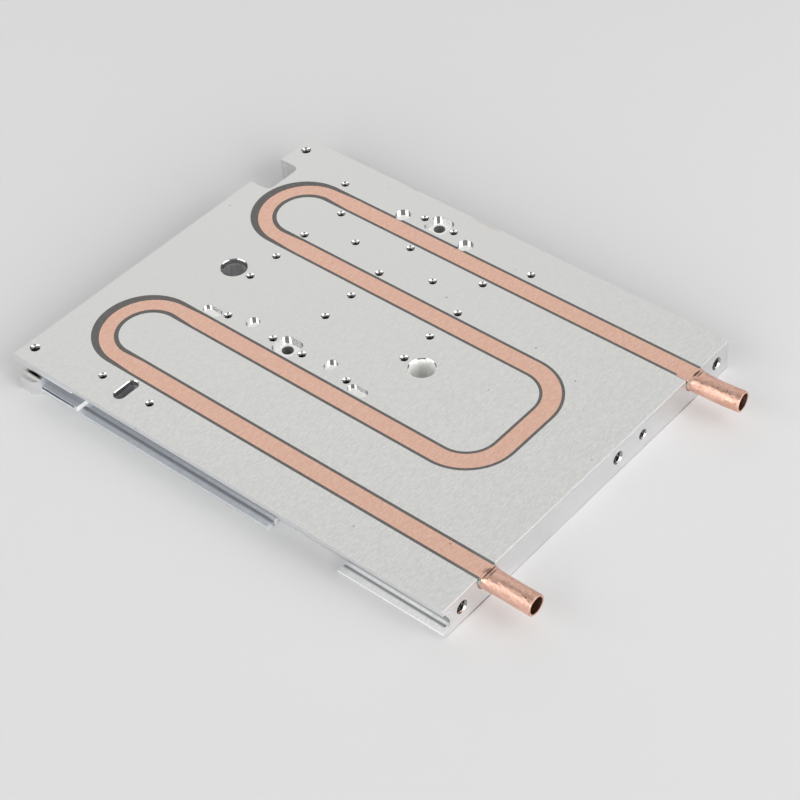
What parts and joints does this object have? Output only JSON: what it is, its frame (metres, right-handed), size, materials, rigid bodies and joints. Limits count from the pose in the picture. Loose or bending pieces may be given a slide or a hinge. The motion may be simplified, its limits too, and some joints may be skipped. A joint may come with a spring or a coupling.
{
  "type": "liquid cooling plate",
  "caption": "Flat aluminium plate with a serpentine copper tube set flush in its top, round tube stubs for coolant and tapped holes for what it cools.",
  "frame": {"origin": "centre of the plate's underside, without the tube stubs and the corner lug", "axes": "+X along the long side towards the tube stubs, +Y away from the slotted long edge, +Z out of the tube side"},
  "size_m": [0.2756, 0.2028, 0.0183],
  "materials": {
    "aluminium": "bare machined aluminium, fly-cut and brushed on top",
    "copper": "bare copper, cut flush and brushed across in the plate, drawn and slightly oxidised outside",
    "epoxy": "dark grey thermal epoxy, cut flush"
  },
  "bodies": {
    "root": {"base_plate": "aluminium", "coolant_tube": "copper", "thermal_epoxy": "epoxy"}
  },
  "joints": []
}
